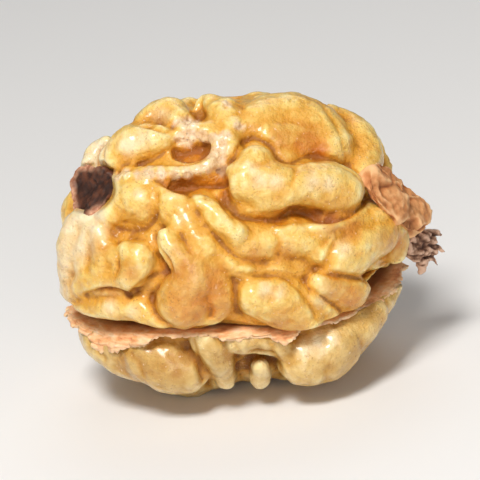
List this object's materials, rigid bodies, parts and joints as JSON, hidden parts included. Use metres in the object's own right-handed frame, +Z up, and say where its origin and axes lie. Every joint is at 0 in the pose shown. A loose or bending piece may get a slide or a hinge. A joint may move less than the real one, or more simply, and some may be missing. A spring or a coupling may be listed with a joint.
{
  "type": "walnut kernel",
  "caption": "Whole shelled walnut kernel: two deeply folded waxy halves held together with a torn papery membrane in the seam, resting on its underside.",
  "frame": {"origin": "bottom centre of the bounding box, on the floor the kernel rests on", "axes": "+X along the kernel, +Y to the back, +Z up, square to the dividing membrane"},
  "size_m": [0.0376, 0.0294, 0.0288],
  "materials": {
    "kernel_skin_upper": "waxy, slightly glossy thin skin, honey yellow on the ridges and deep amber in the furrows",
    "kernel_skin_lower": "the same waxy skin, a little paler and greyer",
    "membrane_paper": "dry papery, pink brown, paler torn edge",
    "pith_brown_pink": "dry matt, pink tan, corky",
    "pith_fibre": "dry matt torn fibres, grey brown",
    "lining_dark_brown": "thin dark lining, slightly shiny inside, pinkish rim"
  },
  "bodies": {
    "root": {"upper_half": "kernel_skin_upper", "lower_half": "kernel_skin_lower", "dividing_membrane": "membrane_paper", "pith_flake": "pith_brown_pink", "pith_shreds": "pith_fibre", "lining_flake": "lining_dark_brown"}
  },
  "joints": []
}
